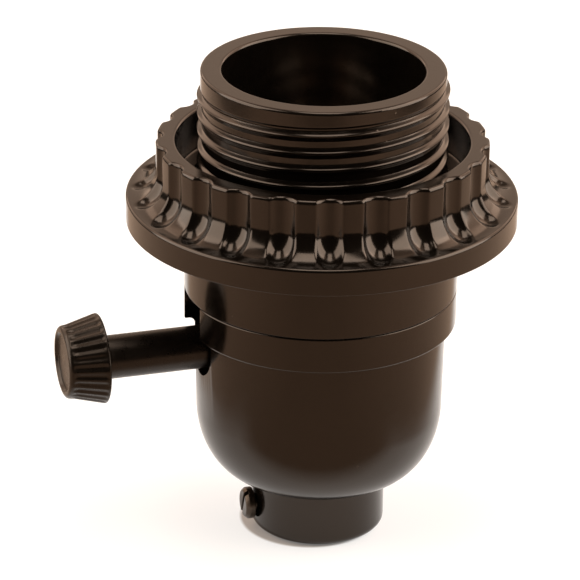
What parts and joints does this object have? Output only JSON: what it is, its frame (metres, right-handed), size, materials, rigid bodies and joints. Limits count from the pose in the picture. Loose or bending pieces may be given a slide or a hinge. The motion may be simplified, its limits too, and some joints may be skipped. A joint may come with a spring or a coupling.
{
  "type": "lamp socket",
  "caption": "Dark moulded screw-base lamp socket with a domed cap, a threaded outer shell, a fluted shade ring and a turn knob switch on a long stem.",
  "frame": {"origin": "middle of the end face of the cap's neck, where the lamp pipe goes in", "axes": "+Z along the socket's axis, out of the lamp well; -X along the switch shaft towards the knob; +Y makes it right-handed"},
  "size_m": [0.0706, 0.0595, 0.0754],
  "materials": {
    "phenolic": "glossy moulded dark brown",
    "brass": "plain turned",
    "phosphor_bronze": "plain rolled",
    "plated_steel": "zinc plated",
    "nickel": "nickel plated"
  },
  "bodies": {
    "socket_body": {"cap": "phenolic", "pipe_bushing": "plated_steel", "set_screw": "plated_steel", "cap_insert_front": "brass", "cap_insert_rear": "brass", "shell": "phenolic", "contact_block": "phenolic", "switch_cover": "phenolic", "cover_screw_1": "plated_steel", "cover_screw_2": "plated_steel", "assembly_screw_front": "plated_steel", "assembly_screw_rear": "plated_steel", "screw_shell": "nickel", "shell_rivet_neutral": "nickel", "shell_rivet_plain": "nickel", "centre_contact": "phosphor_bronze", "centre_rivet": "brass", "line_contact": "brass", "lamp_contact": "phosphor_bronze", "neutral_terminal": "nickel", "terminal_screw_hot": "brass", "terminal_screw_neutral": "nickel", "detent_spring": "plated_steel"},
    "rotor": {"switch_shaft": "plated_steel", "rotor_drum": "phenolic", "rotor_contact": "brass", "detent_cam": "plated_steel", "shaft_clip": "plated_steel", "knob": "phenolic", "knob_insert": "brass"},
    "ring": {"shade_ring": "phenolic"}
  },
  "joints": [
    {"name": "knob_turn", "type": "hinge", "parent": "socket_body", "child": "rotor", "pos_m": [0, 0, 0.0319], "axis": [-1, 0, 0], "continuous": true},
    {"name": "ring_off", "type": "slide", "parent": "socket_body", "child": "ring", "axis": [0, 0, 1], "range_m": [0, 0.03]}
  ]
}
